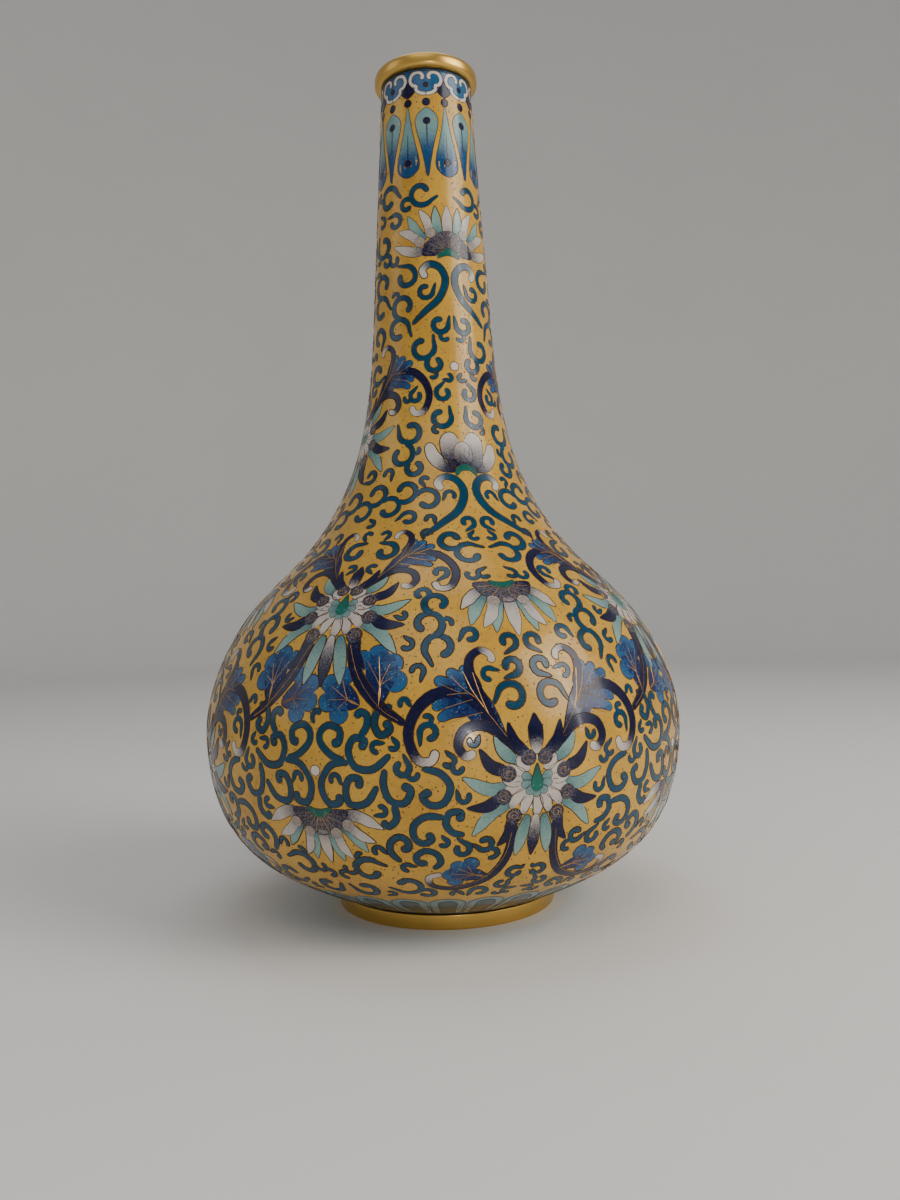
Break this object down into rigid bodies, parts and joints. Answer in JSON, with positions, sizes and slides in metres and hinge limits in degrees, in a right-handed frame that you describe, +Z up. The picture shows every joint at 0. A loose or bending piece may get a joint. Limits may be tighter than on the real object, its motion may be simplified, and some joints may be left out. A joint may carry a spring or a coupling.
{
  "type": "cloisonne vase",
  "caption": "Tall bottle vase with a round low belly and a long tapering neck, a copper body with wired enamel outside, gilt mouth rim and gilt foot ring.",
  "frame": {"origin": "centre of the foot ring's underside, where the vase stands", "axes": "+Z up along the vase's axis of revolution; a viewer in front of the vase looks along +Y"},
  "size_m": [0.2136, 0.2136, 0.38],
  "materials": {
    "gilt": "polished gilding",
    "copper": "beaten copper",
    "yellow_enamel": "polished opaque enamel",
    "collar_blue_enamel": "polished opaque enamel",
    "pale_teal_enamel": "polished opaque enamel",
    "grey_enamel": "polished opaque enamel",
    "turquoise_enamel": "unpolished enamel"
  },
  "bodies": {
    "root": {"mouth_rim": "gilt", "foot_ring": "gilt", "collar_enamel": "collar_blue_enamel", "drop_band_enamel": "pale_teal_enamel", "neck_enamel": "yellow_enamel", "upper_body_enamel": "yellow_enamel", "lower_body_enamel": "yellow_enamel", "lappet_enamel": "grey_enamel", "neck_tube": "copper", "upper_body_shell": "copper", "lower_body_shell": "copper", "base_plate": "copper", "neck_lining": "turquoise_enamel", "body_lining": "turquoise_enamel", "base_lining": "turquoise_enamel", "base_enamel": "turquoise_enamel"}
  },
  "joints": []
}
